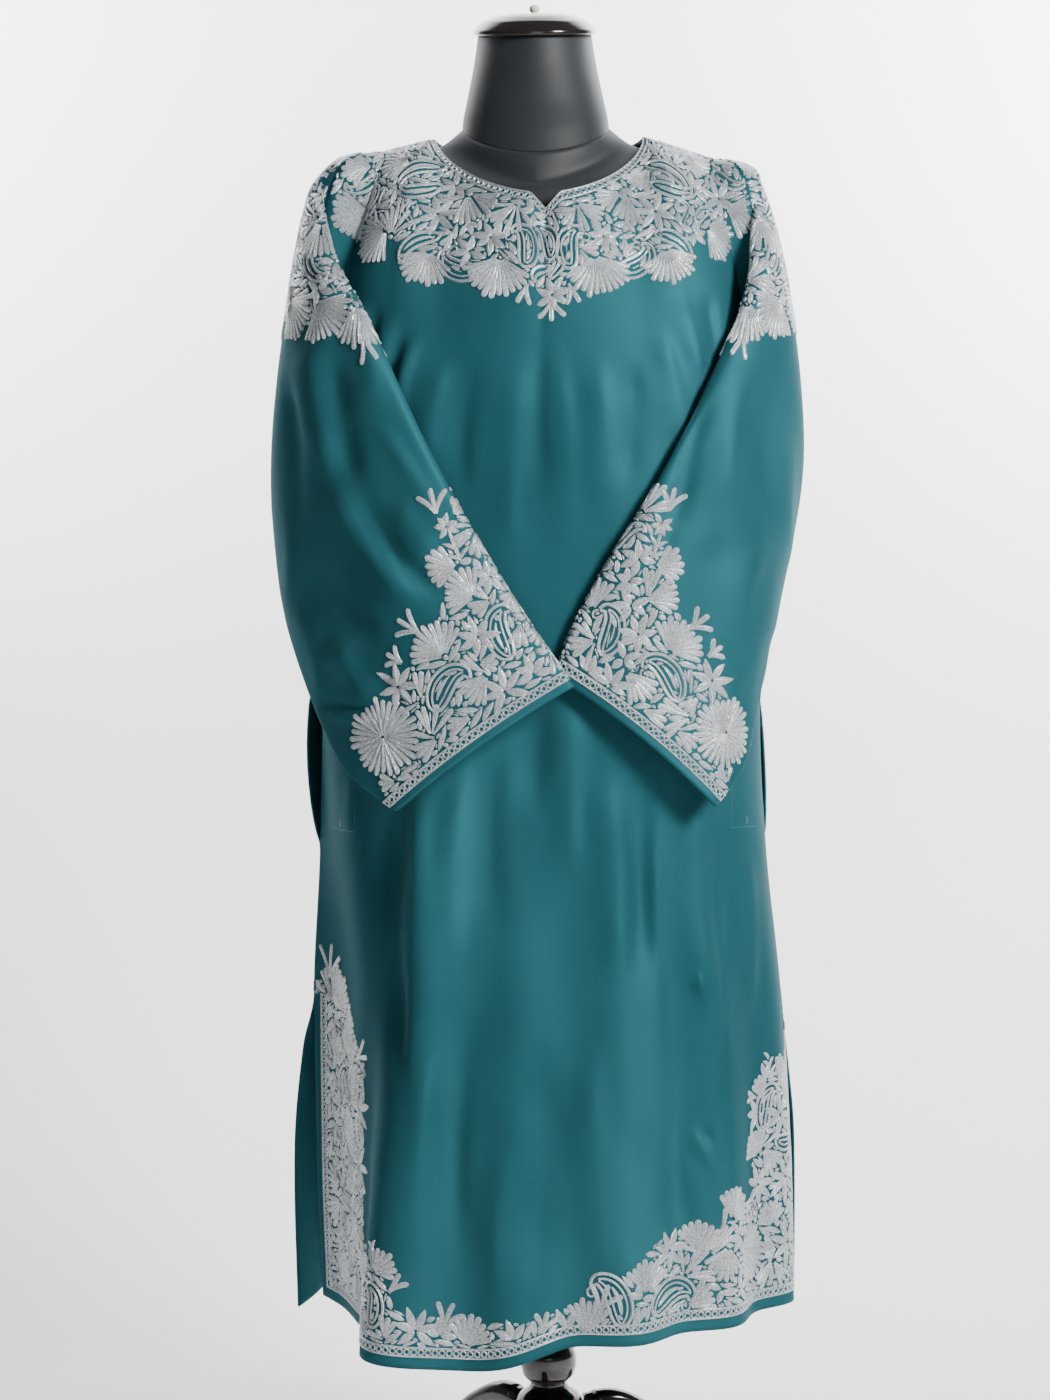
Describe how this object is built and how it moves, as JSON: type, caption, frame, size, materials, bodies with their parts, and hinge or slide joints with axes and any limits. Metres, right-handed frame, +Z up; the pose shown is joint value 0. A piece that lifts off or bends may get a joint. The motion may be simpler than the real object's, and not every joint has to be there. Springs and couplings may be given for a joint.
{
  "type": "pheran on a dress form",
  "caption": "Knee-length velvet tunic with chain-stitch embroidery at yoke, cuffs, hem and side slits, worn on a limbless dress form with a turned tripod stand.",
  "frame": {"origin": "middle of the whole object's box, on the floor", "axes": "+Z up, the wearer's front faces -Y, +X is the side of the wearer's left arm"},
  "size_m": [0.5408, 0.5008, 1.5179],
  "materials": {
    "velvet": "teal cotton velvet with a short nap, silver chain-stitch embroidery in metallic thread",
    "form_cover": "matt black stretched cotton cover",
    "black_lacquer": "turned wood under glossy black lacquer",
    "pale_wood": "small cream-painted knob"
  },
  "bodies": {
    "root": {"front_panel": "velvet", "back_panel": "velvet", "sleeve_left": "velvet", "sleeve_right": "velvet", "neck_binding": "velvet", "form_torso": "form_cover", "form_neck": "form_cover", "neck_cap": "black_lacquer", "cap_knob": "pale_wood", "stand_pole": "black_lacquer", "leg_right": "black_lacquer", "leg_left": "black_lacquer", "leg_front": "black_lacquer"}
  },
  "joints": []
}
